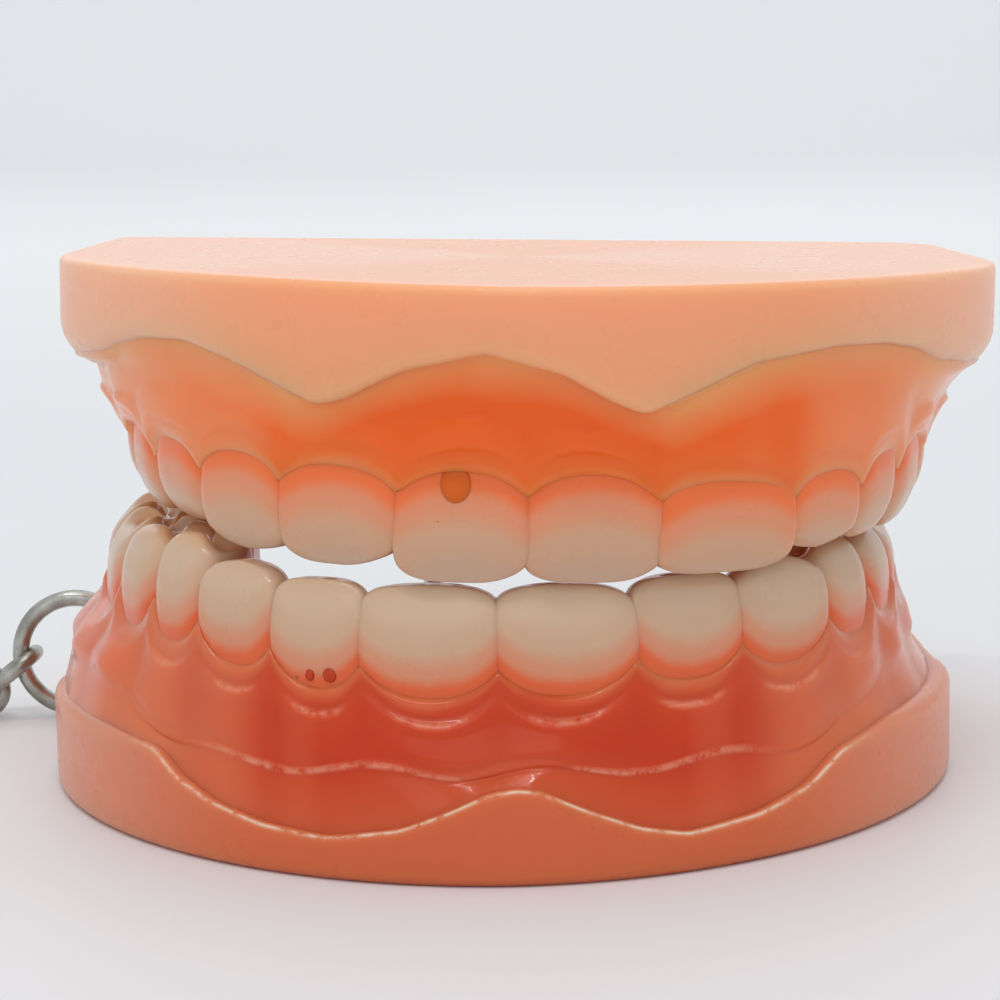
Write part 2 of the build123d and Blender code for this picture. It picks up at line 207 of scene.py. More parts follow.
def ellipse_points(turns, half, depth, power, front):
    """Superellipse front arc at the given turns, in radians from the middle of the front."""
    across, along = np.sin(turns), np.cos(turns)
    x = half * np.sign(across) * np.abs(across) ** (2 / power)
    y = front + depth * (1 - np.abs(along) ** (2 / power))
    return np.stack([x, y], 1)


def place(jaw, points):
    """Jaw space (x, y, height above the base's flat face) to the row frame, in metres."""
    points = np.asarray(points, float)
    x, y, h = points[..., 0], points[..., 1], points[..., 2]
    if jaw is LOWER:
        out = np.stack([x, y, h], -1)
    else:
        up = TOP - h
        c, s = math.cos(ROLL), math.sin(ROLL)
        out = np.stack([x * c + up * s + SHIFT_X, y, -x * s + up * c + BITE], -1)
    return out * MM


def running_length(path):
    """Distance along a path at each of its points."""
    return np.concatenate([[0], np.cumsum(np.hypot(*np.diff(path, axis=0).T))])


def at_length(values, length, along):
    """The x and y of a list of points or directions, read at one length along the arch."""
    return np.array([np.interp(along, length, values[:, k]) for k in (0, 1)])


def arch_columns(jaw, count=300, tail=34):
    """Matched points along the base outline and the tooth arch, with the arch's directions and length.

    count points go round the curve, and tail more run straight back on each side.
    """
    probe = np.linspace(-math.pi / 2, math.pi / 2, PROBE_STEPS)
    # even out the spacing along the arch
    run = running_length(ellipse_points(probe, ARCH_HALF, ARCH_DEPTH, ARCH_POWER, jaw.arch_front))
    turns = np.interp(np.linspace(0, run[-1], count), run, probe)
    arch = ellipse_points(turns, ARCH_HALF, ARCH_DEPTH, ARCH_POWER, jaw.arch_front)
    base = ellipse_points(turns, jaw.half, jaw.depth, jaw.power, jaw.front)
    steps = np.linspace(0, 1, tail + 1)[1:, None]

    def with_tails(path, rear_x):
        """Runs both ends of a path straight back to the rear ends of the gum."""
        right = path[0] + (np.array([-rear_x, GUM_END]) - path[0]) * steps
        left = path[-1] + (np.array([rear_x, GUM_END]) - path[-1]) * steps
        return np.vstack([right[::-1], path, left])

    arch = with_tails(arch, ARCH_HALF - 0.3)
    base = with_tails(base, jaw.half - 0.35)
    tangent = np.gradient(arch, axis=0)
    tangent /= np.linalg.norm(tangent, axis=1)[:, None]
    normal = np.stack([-tangent[:, 1], tangent[:, 0]], 1)
    length = running_length(arch)
    length -= length[-1] / 2
    return arch, base, tangent, normal, length


# A tooth's centre is its length along the arch; its kind is its place in ORDER
Tooth = namedtuple("Tooth", "name centre width depth edge gum kind")


def tooth_list(jaw):
    """The teeth of one jaw, from its right end to its left."""
    teeth = []
    for side, sign in (("right", -1), ("left", 1)):
        widths = getattr(jaw, side + "_widths")
        edges = getattr(jaw, side + "_edges")
        gums = getattr(jaw, side + "_gums")
        reach = 0.0
        for i, width in enumerate(widths):
            centre = jaw.midline + sign * (reach + width / 2)
            reach += width
            name = f"{jaw.name}_{side}_{ORDER[i]}"
            teeth.append(Tooth(name, centre, width, jaw.depths[i], edges[i], gums[i], i))
    return sorted(teeth, key=lambda tooth: tooth.centre)


def phase_and_gum(jaw, length):
    """For positions along the arch: phase across the tooth (-1 to 1), gum line height, tooth depth."""
    teeth = tooth_list(jaw)
    centres = np.array([tooth.centre for tooth in teeth])
    widths = np.array([tooth.width for tooth in teeth])
    which = np.clip(np.searchsorted(centres + widths / 2, length), 0, len(teeth) - 1)
    phase = np.clip((length - centres[which]) / (widths[which] / 2), -1.0, 1.0)
    # past the last molar the gum has no scallop
    beyond = (length > centres[-1] + widths[-1] / 2) | (length < centres[0] - widths[0] / 2)
    phase = np.where(beyond, 1.0, phase)
    gum = soft_interp(length, centres, [tooth.gum for tooth in teeth], 1.2)
    depth = soft_interp(length, centres, [tooth.depth for tooth in teeth], 1.0)
    return phase, gum, depth


def margin_height(jaw, phase, gum):
    """Height of the gum's free edge: lowest at the middle of a tooth, with a papilla on each side."""
    return gum + jaw.papilla * np.abs(phase) ** 2.4


def make_mesh(name, points, faces, body, attributes):
    """A mesh piece from row-frame points in metres, riding on a body, with values for its material."""
    mesh = bpy.data.meshes.new(name)
    mesh.from_pydata([tuple(p) for p in points], [], [tuple(f) for f in faces])
    mesh.validate()
    mesh.update()
    for label, values in attributes.items():
        layer = mesh.attributes.new(label, "FLOAT", "POINT")
        layer.data.foreach_set("value", np.asarray(values, dtype=np.float32))
    obj = bpy.data.objects.new(name, mesh)
    bpy.context.scene.collection.objects.link(obj)
    bpy.context.view_layer.objects.active = obj
    obj.select_set(True)
    bpy.ops.object.mode_set(mode="EDIT")
    bpy.ops.mesh.select_all(action="SELECT")
    bpy.ops.mesh.normals_make_consistent(inside=False)
    bpy.ops.object.mode_set(mode="OBJECT")
    obj.select_set(False)
    for poly in mesh.polygons:
        poly.use_smooth = True
    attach(obj, body)
    return obj


def grid_faces(rows, columns, wrap_columns=False, wrap_rows=False, offset=0):
    """Quads over a grid of points stored row by row."""
    faces = []
    for r in range(rows if wrap_rows else rows - 1):
        for c in range(columns if wrap_columns else columns - 1):
            r2, c2 = (r + 1) % rows, (c + 1) % columns
            corners = (r * columns + c, r * columns + c2, r2 * columns + c2, r2 * columns + c)
            faces.append(tuple(offset + corner for corner in corners))
    return faces


def end_caps(rows, columns):
    """One face over the first row and one over the last."""
    return [tuple(range(columns)), tuple(range((rows - 1) * columns, rows * columns))]


# ---------------------------------------------------------------- gums
HIDDEN_ROWS = 2  # rows sunk in the base
FACE_ROWS = 52  # rows up the outer face
FIRST_INNER_ROW = HIDDEN_ROWS + FACE_ROWS
FOLD_SHARE = 0.4  # how far up the face the fold lies
DEEP_IN = 5.0  # a look value far past the end of its fade

# Relief below the free edge: how far below it, and how wide
UPPER_ROLL = (0.42, 0.26)
ROLL_GROOVE = (0.95, 0.13)
LOWER_ROLL = (1.25, 0.2)
ROLL_RIM = (1.12, 0.1)

# Rows over the free edge: how far inwards from the arch, and how far below the edge
CREST_STEPS = ((0.22, 0.03), (0.36, 0.0), (0.55, 0.0), (0.9, 0.02))
# Rows past the back of the crowns: how far past them, and how far below the edge
TONGUE_EDGE_STEPS = ((-0.5, 0.0), (-0.1, 0.05), (0.2, 0.25), (0.45, 0.7))
TONGUE_TOP_DROP = 0.7
REAR_PAD_LENGTH = 2.6


def gum_columns(jaw):
    """What each column across the gum needs: its places on the arch and the base, and its heights."""
    arch, base, tangent, normal, length = arch_columns(jaw)
    phase, gum, depth = phase_and_gum(jaw, length)
    return SimpleNamespace(
        arch=arch,
        base=base,
        normal=normal,
        length=length,
        depth=depth,
        margin=margin_height(jaw, phase, gum),
        ledge=soft_interp(base[:, 0], jaw.ledge_x, jaw.ledge_h, LEDGE_BLUR),
        front=1 - smooth(12.5, 17.5, np.abs(base[:, 0])),
        left=smooth(-2, 2, base[:, 0]),
        mid_tooth=np.cos(phase * math.pi / 2) ** 1.3,
    )


def gum_relief(jaw, col, q, share, height):
    """Shapes the outer face: the ridge at the fold, the swellings over the roots, the rolls below the teeth.

    q runs from 0 on the base's outline to 1 on the arch.
    """
    below = col.margin - height
    on_face = smooth(0.36, 0.55, share)
    q = q - 0.05 * col.front * bump(share, 0.41, 0.03) * jaw.crease_ridge
    swelling = col.mid_tooth * smooth(0.3, 1.6, below) * (0.25 + 0.75 * on_face)
    q = q - jaw.root_swell * swelling
    roll = 0.3 + 0.7 * col.front
    q = q - 0.06 * roll * bump(below, *UPPER_ROLL) * smooth(0.0, 0.5, col.mid_tooth + 0.3)
    q = q + jaw.roll_cut * roll * bump(below, *ROLL_GROOVE) * col.mid_tooth
    q = q - 0.05 * roll * bump(below, *LOWER_ROLL) * col.mid_tooth
    wave = 0.5 + 0.5 * np.sin(col.length * 1.7) * np.sin(col.length * 0.63 + 1.0)
    return q + 0.03 * (wave - 0.5) * on_face * (1 - smooth(0.8, 1.0, share))


def gum_face_rows(jaw, col):
    """Rows from inside the base, past its ledge and up the outer face to the free edge."""
    # starts inside the base so that no gap shows along the ledge
    rows = [(col.base + (col.arch - col.base) * jaw.sunk, col.ledge - drop) for drop in (1.0, 0.45)]
    free_edge = col.margin - 0.1
    crease = np.minimum(jaw.crease + 0.25 * np.sin(col.length * 0.9), free_edge - 1.2)
    low = col.ledge - 0.16
    for share in np.linspace(0, 1, FACE_ROWS):
        if share < FOLD_SHARE:
            t = share / FOLD_SHARE
            front_q = np.interp(t, jaw.fold_t, jaw.fold_q)
            front_z = low + (crease - low) * np.interp(t, jaw.fold_t, jaw.fold_z)
        else:
            t = (share - FOLD_SHARE) / (1 - FOLD_SHARE)
            front_q = np.interp(t, jaw.face_t, jaw.face_q)
            front_z = crease + (free_edge - crease) * t
        side_z = low + (free_edge - low) * share
        right_q = soft_interp(side_z, jaw.right_z, jaw.right_q, 0.4)
        left_q = soft_interp(side_z, jaw.left_z, jaw.left_q, 0.4)
        side_q = right_q * (1 - col.left) + left_q * col.left
        side_q = side_q + (1.1 - side_q) * smooth(0.8, 1.0, share)
        q = col.front * front_q + (1 - col.front) * side_q
        height = col.front * front_z + (1 - col.front) * side_z
        q = gum_relief(jaw, col, q, share, height)
        rows.append((col.base + (col.arch - col.base) * q[:, None], height))
    return rows


def gum_inner_rows(jaw, col):
    """Rows over the crest, under the crowns, down the tongue side and back below the floor."""
    rows = [(col.arch + col.normal * inward, col.margin - drop) for inward, drop in CREST_STEPS]
    for share in (0.3, 0.55, 0.75):
        rows.append((col.arch + col.normal * (col.depth * share)[:, None], col.margin - 0.05))
    for over, drop in TONGUE_EDGE_STEPS:
        rows.append((col.arch + col.normal * (col.depth + over)[:, None], col.margin - drop))
    top = col.margin - TONGUE_TOP_DROP
    for share in np.linspace(0.15, 1.0, 16):
        swelling = 0.12 * col.mid_tooth * math.sin(math.pi * min(1, share * 1.4))
        flare = 0.45 + 1.5 * share**2.2 + swelling
        height = top + (jaw.floor - top) * share
        rows.append((col.arch + col.normal * (col.depth + flare)[:, None], height))
    rows.append((col.arch + col.normal * (col.depth + 1.95)[:, None], jaw.floor - 0.7))
    rows.append((col.arch + col.normal * (col.depth * 0.5)[:, None], jaw.floor - 0.9))
    return rows


def round_rear_ends(jaw, col, rows):
    """Narrows and lowers the rows at both rear ends, like the pads behind the last molars."""
    end_gap = np.abs(col.length).max() - np.abs(col.length)
    pad = np.sqrt(np.clip(1 - (1 - np.clip(end_gap / REAR_PAD_LENGTH, 0, 1)) ** 2, 0.0, 1))
    narrow = 0.35 + 0.65 * pad
    centre_line = col.arch + col.normal * (col.depth * 0.55)[:, None]
    bottom = jaw.floor - 0.5
    points = []
    for row_xy, height in rows:
        height = np.asarray(height, float) * np.ones(len(col.arch))
        squeeze = np.where(height > jaw.floor, 0.1 + 0.9 * pad, 1.0)
        xy = centre_line + (row_xy - centre_line) * narrow[:, None]
        points.append(np.column_stack([xy, bottom + (height - bottom) * squeeze]))
    return np.array(points)


def gum_looks(jaw, col, points):
    """The values that the gum's material reads at each point."""
    x = col.base[:, 0]
    below_margin = col.margin - points[:, :, 2]
    above_ledge = points[:, :, 2] - col.ledge
    above_ledge[FIRST_INNER_ROW + len(CREST_STEPS) :] = DEEP_IN
    inside = (np.arange(len(points)) >= FIRST_INNER_ROW)[:, None]
    sides = np.where(inside, 0.1, smooth(8.0, 16.0, np.abs(x)))
    roots = np.where(inside, 0.0, col.mid_tooth * smooth(6.0, 9.0, np.abs(x)))
    seam = np.zeros_like(above_ledge)
    if jaw is LOWER:
        # painted highlights: a faint line along the fold, and pale rims on the rolls under the teeth
        shares = np.full(len(points), -1.0)
        shares[HIDDEN_ROWS:FIRST_INNER_ROW] = np.linspace(0, 1, FACE_ROWS)
        fold_highlight = bump(shares, FOLD_SHARE, 0.012)[:, None]
        reach = smooth(1.2, 2.2, np.abs(x - 0.6)) * (1 - smooth(9.0, 12.5, np.abs(x + 1.0)))
        rolls = bump(below_margin, *ROLL_RIM) * smooth(0.35, 0.8, col.mid_tooth)
        rolls[FIRST_INNER_ROW:] = 0.0
        seam = np.maximum(0.75 * fold_highlight * reach, 0.4 * rolls * col.front)
    return {
        "below_margin": below_margin,
        "above_ledge": above_ledge,
        "sides": sides,
        "roots": roots,
        "seam": seam,
    }


PALATE_LOOKS = {"below_margin": 4.0, "above_ledge": 4.0, "sides": 0.2, "roots": 0.0, "seam": 0.0}
PALATE_STEPS = 61
PALATE_FRONT = -10.2
PALATE_HALF = 12.3


def palate_shape(jaw):
    """A shallow vault between the ridges, with folds and a groove down the middle, and a flat top inside the
    base.
    """
    steps = PALATE_STEPS
    vault_points = []
    for v in np.linspace(0, 1, steps):
        y = PALATE_FRONT + (GUM_END - 0.4 - PALATE_FRONT) * v
        rounding = (1 - (1 - min(1, (y - PALATE_FRONT) / 9.0)) ** 2) ** 0.5
        half = PALATE_HALF * rounding + 0.4
        for u in np.linspace(-1, 1, steps):
            x = u * half
            vault = 1.75 - 1.5 * (1 - min(1, abs(x) / 9.6) ** 2.2) * smooth(-9.5, -4.5, y)
            folds = 0.3 * bump(abs(x), 3.2, 2.6) * math.sin(y * 2.1 + abs(x) * 0.5)
            folds *= 1 - smooth(-2.0, 1.0, y)
            middle_seam = -0.12 * bump(x, 0.0, 0.5)
            vault_points.append((x, y, jaw.floor + vault + folds + middle_seam))
    hidden_top = [(x, y, jaw.floor - 0.6) for x, y, _ in vault_points]
    count = len(vault_points)
    last = steps - 1
    faces = grid_faces(steps, steps) + grid_faces(steps, steps, offset=count)
    rim = list(range(steps))
    rim += [r * steps + last for r in range(1, steps)]
    rim += [last * steps + c for c in range(last - 1, -1, -1)]
    rim += [r * steps for r in range(last - 1, 0, -1)]
    faces += [(a, b, count + b, count + a) for a, b in zip(rim, rim[1:] + rim[:1])]
    return vault_points + hidden_top, faces


DROP_LOOKS = {"below_margin": 3.5, "above_ledge": DEEP_IN, "sides": 0.0, "roots": 0.0, "seam": 0.0}
DROP_AROUND = 24
DROP_ROWS = 11
DROP_THICKNESS = 0.17


def resin_drop(curve, along, height, half_wide, half_high):
    """A flattened blob of gum resin that ran on to the face of a tooth."""
    arch, base, tangent, normal, length = curve
    spot, run, inward = (at_length(values, length, along) for values in (arch, tangent, normal))
    turns = np.linspace(0, 2 * math.pi, DROP_AROUND, endpoint=False)
    around, up = np.meshgrid(turns, np.linspace(-1.45, 1.45, DROP_ROWS))
    across = half_wide * np.cos(up) * np.cos(around)
    deep = DROP_THICKNESS * np.cos(up) * np.sin(around)
    xy = spot + run * across[..., None] + inward * deep[..., None]
    points = np.concatenate([xy, (height + half_high * np.sin(up))[..., None]], -1).reshape(-1, 3)
    faces = grid_faces(DROP_ROWS, DROP_AROUND, wrap_columns=True)
    faces += end_caps(DROP_ROWS, DROP_AROUND)
    return points, faces


def build_gum(jaw):
    """The whole gum: the ridge round the arch, the palate of the upper jaw, and the drops on the teeth."""
    col = gum_columns(jaw)
    rows = round_rear_ends(jaw, col, gum_face_rows(jaw, col) + gum_inner_rows(jaw, col))
    n_rows, n_cols = rows.shape[:2]
    points = rows.reshape(-1, 3)
    faces = grid_faces(n_rows, n_cols, wrap_rows=True)
    faces.append(tuple(r * n_cols for r in range(n_rows)))
    faces.append(tuple(r * n_cols + n_cols - 1 for r in range(n_rows - 1, -1, -1)))
    looks = {label: values.reshape(-1) for label, values in gum_looks(jaw, col, rows).items()}
    extras = [(palate_shape(jaw), PALATE_LOOKS)] if jaw is UPPER else []
    curve = arch_columns(jaw)
    extras += [(resin_drop(curve, *drop), DROP_LOOKS) for drop in jaw.drops]
    for (more_points, more_faces), fill in extras:
        faces += [tuple(i + len(points) for i in face) for face in more_faces]
        points = np.vstack([points, more_points])
        for label in looks:
            looks[label] = np.concatenate([looks[label], np.full(len(more_points), fill[label])])
    obj = make_mesh(f"{jaw.name}_gum_resin", place(jaw, points), faces, f"{jaw.name}_jaw", looks)
    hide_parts(f"{jaw.name}_gum")
    return obj


# ---------------------------------------------------------------- bases
OUTLINE_POINTS = 420
BASE_CENTRE = np.array([0.0, 2.0])
RIM_WIDTH = 5.2  # from the outline in to the step down to the floor


def base_outline(jaw):
    """Closed outline of a base, starting at the middle of the back, with its rounded rear corners."""
    turns = np.linspace(-math.pi / 2, math.pi / 2, PROBE_STEPS)
    arc = ellipse_points(turns, jaw.half, jaw.depth, jaw.power, jaw.front)
    rear_x = jaw.half - 0.5
    turn = np.linspace(0, math.pi / 2, 30)
    corner = np.stack([-np.cos(turn), np.sin(turn)], 1)
    right, left = (corner * r + (-rear_x + r, BACK_Y - r) for r in jaw.corner_radii)
    path = np.vstack([[[0, BACK_Y]], right[::-1], arc, left * np.array([-1, 1]), [[0, BACK_Y]]])
    keep = np.concatenate([[True], np.hypot(*np.diff(path, axis=0).T) > 1e-6])
    path = path[keep]
    run = running_length(path)
    spots = np.linspace(0, run[-1], OUTLINE_POINTS + 1)[:-1]
    return np.stack([np.interp(spots, run, path[:, 0]), np.interp(spots, run, path[:, 1])], 1)


def rim_height(jaw, outline):
    """Height of the rim: the wavy ledge in front, level at the sides, and down to the floor at the back."""
    x, y = outline.T
    at_front = 1 - smooth(2.0, 6.0, y)
    ledge = soft_interp(x, jaw.ledge_x, jaw.ledge_h, LEDGE_BLUR)
    run_out = (1 - smooth(13.6, 14.4, np.abs(x))) * smooth(10, 15, y)
    top = at_front * ledge + (1 - at_front) * (jaw.rim - 0.02)
    return top * (1 - run_out) + jaw.floor * run_out


def base_rows(jaw, outline):
    """Rows from the middle of the flat face, up the wall, over the bead and down to the floor.

    Each row has its points, its height and the strength of the painted highlight line on it.
    """
    tangent = np.roll(outline, -1, 0) - np.roll(outline, 1, 0)
    tangent /= np.linalg.norm(tangent, axis=1)[:, None]
    inward = np.stack([-tangent[:, 1], tangent[:, 0]], 1)
    top = rim_height(jaw, outline)
    edge = jaw.edge_radius
    # the flat face, and its rounded edge
    rows = [(outline + (BASE_CENTRE - outline) * share, 0.0, 0) for share in (0.97, 0.8, 0.6, 0.4, 0.2, 0.08)]
    for turn in np.linspace(0, math.pi / 2, 7):
        xy = outline + inward * edge * (1 - math.sin(turn))
        rows.append((xy, edge * (1 - math.cos(turn)), 0))
    # the wall, and the bead along its top, which is fuller at the sides
    sideways = smooth(15.0, 18.5, np.abs(outline[:, 0])) * (1 - smooth(6.0, 12.0, outline[:, 1]))
    bead = jaw.bead + jaw.bead_growth * sideways
    bead_in = bead[:, None]
    for share in np.linspace(0.1, 1.0, 9):
        rows.append((outline, edge + (top - bead - edge) * share, 0))
    # the bead's middle rows carry the painted highlight line
    for turn in np.linspace(0.15, math.pi / 2, 7):
        xy = outline + inward * bead_in * (1 - math.cos(turn))
        rows.append((xy, top - bead + bead * math.sin(turn), jaw.highlight_strength * bump(turn, 0.85, 0.22)))
    rows.append((outline + inward * (bead_in + 0.2), top - 0.05, 0))
    rows.append((outline + inward * (bead_in + 0.45), top - 0.16, 0))
    # the inner face: the rim, the step down to the floor, and the floor
    from_centre = outline - BASE_CENTRE
    distance = np.linalg.norm(from_centre, axis=1)
    inner_scale = 1 - RIM_WIDTH / distance
    for share in (0.35, 0.7, 0.95):
        blend = inner_scale * share + (1 - share) * (1 - (bead + 0.7) / distance)
        rows.append((BASE_CENTRE + from_centre * blend[:, None], top - 0.3, 0))
    rim_step = BASE_CENTRE + from_centre * (inner_scale * 0.99)[:, None]
    rows.append((rim_step, jaw.floor + (top - 0.3 - jaw.floor) * 0.15, 0))
    for share in (0.96, 0.8, 0.55, 0.3, 0.05):
        rows.append((BASE_CENTRE + from_centre * (inner_scale * share)[:, None], jaw.floor, 0))
    return rows


def build_base(jaw):
    """The whole base, standing in for the CAD one."""
    outline = base_outline(jaw)
    across = np.abs(outline[:, 0])
    rows = base_rows(jaw, outline)
    points = np.vstack([np.column_stack([xy, h * np.ones(len(xy))]) for xy, h, _ in rows])
    faces = grid_faces(len(rows), OUTLINE_POINTS, wrap_columns=True)
    faces += end_caps(len(rows), OUTLINE_POINTS)
    on_front = 1 - smooth(13.0, 15.5, across)
    looks = {
        # the painted highlight line along the bead, in front only
        "seam": np.concatenate([strength * on_front for _, _, strength in rows]),
        "sides": np.tile(smooth(9.0, 18.0, across), len(rows)),
    }
    obj = make_mesh(f"{jaw.name}_base_resin", place(jaw, points), faces, f"{jaw.name}_jaw", looks)
    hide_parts(f"{jaw.name}_base")
    return obj


# ---------------------------------------------------------------- teeth
CANINE = ORDER.index("canine")
FIRST_MOLAR = ORDER.index("first_molar")
CROWN_AROUND = 64
CROWN_ROWS = 40
NECK_SHARE = 0.3  # the share of the rows that lies in the hidden neck
NECK_LENGTH = 1.5
NECK_WIDTH = 0.965
CROWN_WIDENING = 1.075  # crowns are this much wider than their places, so that neighbours touch
LEAN = 0.05  # how far a crown leans in or out at most

# Corners that are worn rounder than the rest: side along the arch (1 towards the left), and roundness
WORN_CORNERS = {
    "upper_right_lateral_incisor": (1, 1.6),
    "upper_right_central_incisor": (1, 3.2),
    "upper_left_central_incisor": (1, 3.6),
    "lower_right_central_incisor": (1, 4.4),
    "lower_left_central_incisor": (1, 3.2),
    "lower_left_canine": (1, 3.0),
}


def crown_form(tooth):
    """Squareness of the corners, squareness of the tip, depth at the top, and squareness of the section."""
    if tooth.kind < CANINE:
        return 6.4, 5.0, 1.35, 6.0
    if tooth.kind == CANINE:
        return 5.0, 4.0, 1.9, 5.0
    return 5.0, 3.6, tooth.depth * 0.72, 3.6


def signed_power(values, power):
    """A power that keeps each value's sign, which squares off a circle."""
    return np.sign(values) * np.abs(values) ** power


def shape_biting_end(tooth, around, x, y, h, rise, side_scale, facing):
    """Cusps on back teeth, a point on canines, a slight bow and faint lobes on incisors."""
    off_middle = x / (tooth.width * 0.5)
    if tooth.kind > CANINE:
        cusp_count = 4 if tooth.kind >= FIRST_MOLAR else 2
        swell = 4 * side_scale * (1 - side_scale) + 0.25 * side_scale
        cusp = -0.34 * np.cos(cusp_count * around) * swell * smooth(0.55, 0.95, rise)
        dish = -0.75 * (1 - side_scale) ** 1.1 * smooth(0.8, 1.0, rise)
        h = h + cusp + dish
    elif tooth.kind == CANINE:
        h = h - 0.3 * 0.9 * np.abs(off_middle) * smooth(0.75, 1.0, rise)
    else:
        h = h - 0.16 * off_middle**2 * smooth(0.8, 1.0, rise)
        lobes = np.cos(x / tooth.width * 4.4 * math.pi)
        y = y + 0.035 * lobes * facing * smooth(0.3, 0.7, rise)
    return y, h


def crown_shape(tooth):
    """Rows of one crown and its hidden neck, and how far each point belongs to the chewing or tongue side.

    In tooth space x runs along the arch, y inwards and h up from the base's flat face.
    """
    name, width, depth = tooth.name, tooth.width, tooth.depth
    back_tooth = tooth.kind > CANINE
    corner, tip, top_depth, section = crown_form(tooth)
    lean = math.sin(sum(ord(ch) * (i + 3) for i, ch in enumerate(name))) * LEAN
    around = np.linspace(0, 2 * math.pi, CROWN_AROUND, endpoint=False)
    cos_a, sin_a = np.cos(around), np.sin(around)
    x_unit = signed_power(cos_a, 2 / section)
    # y_unit is -1 on the outer face and 1 on the tongue side
    y_unit = signed_power(sin_a, 2 / (section if back_tooth else section + 0.4))
    facing = 0.5 * (1 - y_unit)
    tongue_narrowing = 1 - (0.2 if back_tooth else 0.3) * smooth(-0.1, 1.0, y_unit)
    rows, chewing = [], []
    for k in range(CROWN_ROWS):
        share = k / (CROWN_ROWS - 1)
        # omega stays 0 along the neck, and reaches a quarter turn at the biting end
        omega = max(share - NECK_SHARE, 0.0) / (1 - NECK_SHARE) * math.pi / 2
        closing = max(math.cos(omega), 0.0)
        rise = math.sin(omega) ** (2 / corner)
        side_scale = closing ** (2 / corner)
        if share < NECK_SHARE:
            h = -NECK_LENGTH + NECK_LENGTH * share / NECK_SHARE
            fullness = NECK_WIDTH - 0.12 * (NECK_SHARE - share) / NECK_SHARE
        else:
            # widest from two thirds of the way up
            h = (tooth.edge - tooth.gum) * rise
            fullness = NECK_WIDTH + (1 - NECK_WIDTH) * math.sin(min(1.0, rise / 0.6) * math.pi / 2)
        narrowed = side_scale
        if name in WORN_CORNERS:
            side, roundness = WORN_CORNERS[name]
            narrowed = np.where(cos_a * side > 0, closing ** (2 / roundness), side_scale)
        x = width * CROWN_WIDENING * 0.5 * fullness * narrowed * x_unit * tongue_narrowing
        deep = depth * (0.94 - 0.1 * (1 - rise)) + (top_depth - depth * 0.94) * rise**1.25
        deep *= closing ** (2 / tip)
        face = -0.16 * math.sin(rise * math.pi * 0.8) + 0.42 * rise**3 - lean * rise
        centring = (0.8 if back_tooth else 0.25) * rise
        y = face + deep * 0.5 + (depth * 0.5 - deep * 0.5) * centring + deep * 0.5 * y_unit
        # faces follow the curve of the arch
        y = y + 0.05 * (x / (width * 0.5)) ** 2
        y, h = shape_biting_end(tooth, around, x, y, np.full_like(x, h), rise, side_scale, facing)
        rows.append(np.stack([x, y, h + tooth.gum], 1))
        # the chewing and tongue sides take the painted back-light glow
        inner = (1 - side_scale) ** 0.5 * smooth(0.8, 1.0, rise) if back_tooth else 0.0
        chewing.append(np.maximum(inner, 0.6 * smooth(0.0, 1.0, y_unit)))
    return np.concatenate(rows), np.concatenate(chewing)


def build_tooth(jaw, tooth, curve):
    """One tooth, set at its place on the curve of the arch."""
    arch, base, tangent, normal, length = curve
    local, chewing = crown_shape(tooth)
    spot = at_length(arch, length, tooth.centre)
    run = at_length(tangent, length, tooth.centre)
    run_x, run_y = run / math.hypot(*run)
    x = spot[0] + local[:, 0] * run_x - local[:, 1] * run_y
    y = spot[1] + local[:, 0] * run_y + local[:, 1] * run_x
    faces = grid_faces(CROWN_ROWS, CROWN_AROUND, wrap_columns=True) + end_caps(CROWN_ROWS, CROWN_AROUND)
    phase = np.clip(local[:, 0] / (tooth.width / 2), -1, 1)
    looks = {
        "above_gum": local[:, 2] - margin_height(jaw, phase, tooth.gum),
        "to_edge": tooth.edge - local[:, 2],
        "chewing": chewing,
    }
    points = place(jaw, np.stack([x, y, local[:, 2]], 1))
    obj = make_mesh(f"{tooth.name}_crown", points, faces, f"{jaw.name}_jaw", looks)
    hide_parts(tooth.name)
    return obj


# ---------------------------------------------------------------- materials
def new_material(name):
    """A material with its node tree's nodes, links and main shader."""
    material = bpy.data.materials.new(name)
    material.use_nodes = True
    nodes = material.node_tree.nodes
    links = material.node_tree.links
    shader = nodes["Principled BSDF"]
    return material, nodes, links, shader


def colour_ramp(nodes, stops, interpolation="LINEAR"):
    """Colours along a value; each stop is a position and a colour."""
    ramp = nodes.new("ShaderNodeValToRGB")
    ramp.color_ramp.interpolation = interpolation
    elements = ramp.color_ramp.elements
    while len(elements) > 1:
        elements.remove(elements[-1])
    elements[0].position = stops[0][0]
    elements[0].color = (*stops[0][1], 1)
    for position, colour in stops[1:]:
        element = elements.new(position)
        element.color = (*colour, 1)
    return ramp


def object_noise(nodes, links, scale, detail, roughness=0.5):
    """Cloudy noise fixed to the object; scale is in clouds per metre."""
    where = nodes.new("ShaderNodeTexCoord")
    noise = nodes.new("ShaderNodeTexNoise")
    noise.inputs["Scale"].default_value = scale
    noise.inputs["Detail"].default_value = detail
    noise.inputs["Roughness"].default_value = roughness
    links.new(where.outputs["Object"], noise.inputs["Vector"])
    return noise


def srgb(r, g, b):
    """8-bit display colour to linear, for anything brighter than near-black."""
    return tuple(((v / 255 + 0.055) / 1.055) ** 2.4 for v in (r, g, b))


# Colours shared by both jaws
# pale colours of the painted highlight lines on the base's bead and on the gum
BASE_HIGHLIGHT = (0.95, 0.62, 0.45)
GUM_HIGHLIGHT = (0.95, 0.5, 0.33)
# warm orange painted on the chewing surfaces and tongue side of the teeth, standing in for back light shining
# through the resin
BACKLIGHT_GLOW_TINT = (0.86, 0.43, 0.17)
SPECK = srgb(120, 80, 62)


